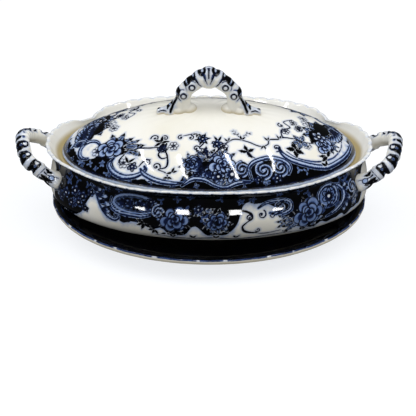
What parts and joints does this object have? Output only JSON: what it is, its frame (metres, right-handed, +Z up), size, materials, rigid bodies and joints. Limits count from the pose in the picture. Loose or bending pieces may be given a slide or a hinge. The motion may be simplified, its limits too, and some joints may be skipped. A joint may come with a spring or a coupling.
{
  "type": "soup tureen",
  "caption": "Oval covered soup tureen: a loop-handled bowl with a scalloped rim, a domed lid with an arched handle, and an oval stand that it rests on.",
  "frame": {"origin": "on the table under the centre of the tureen", "axes": "+X along the length towards the right handle, +Y across towards the far side, +Z up"},
  "size_m": [0.355, 0.2362, 0.1537],
  "materials": {
    "cream_glaze": "glossy clear glaze over cream earthenware",
    "cobalt_print_glaze": "glossy glaze over a solid cobalt ground",
    "floral_print_glaze": "glossy glaze over a flowing blue floral transfer print",
    "handle_glaze": "glossy glaze over moulded beads painted in cobalt"
  },
  "bodies": {
    "stand": {"underplate_foot_ring": "cream_glaze", "underplate": "cobalt_print_glaze"},
    "bowl": {"bowl_foot_ring": "cream_glaze", "bowl_shell": "floral_print_glaze", "handle_left": "handle_glaze", "handle_right": "handle_glaze"},
    "lid": {"lid_locating_flange": "cream_glaze", "lid_dome": "floral_print_glaze", "lid_handle": "handle_glaze"}
  },
  "joints": [
    {"name": "bowl_lift", "type": "slide", "parent": "stand", "child": "bowl", "axis": [0, 0, 1], "range_m": [0, 0.08]},
    {"name": "lid_lift", "type": "slide", "parent": "bowl", "child": "lid", "axis": [0, 0, 1], "range_m": [0, 0.12]}
  ]
}
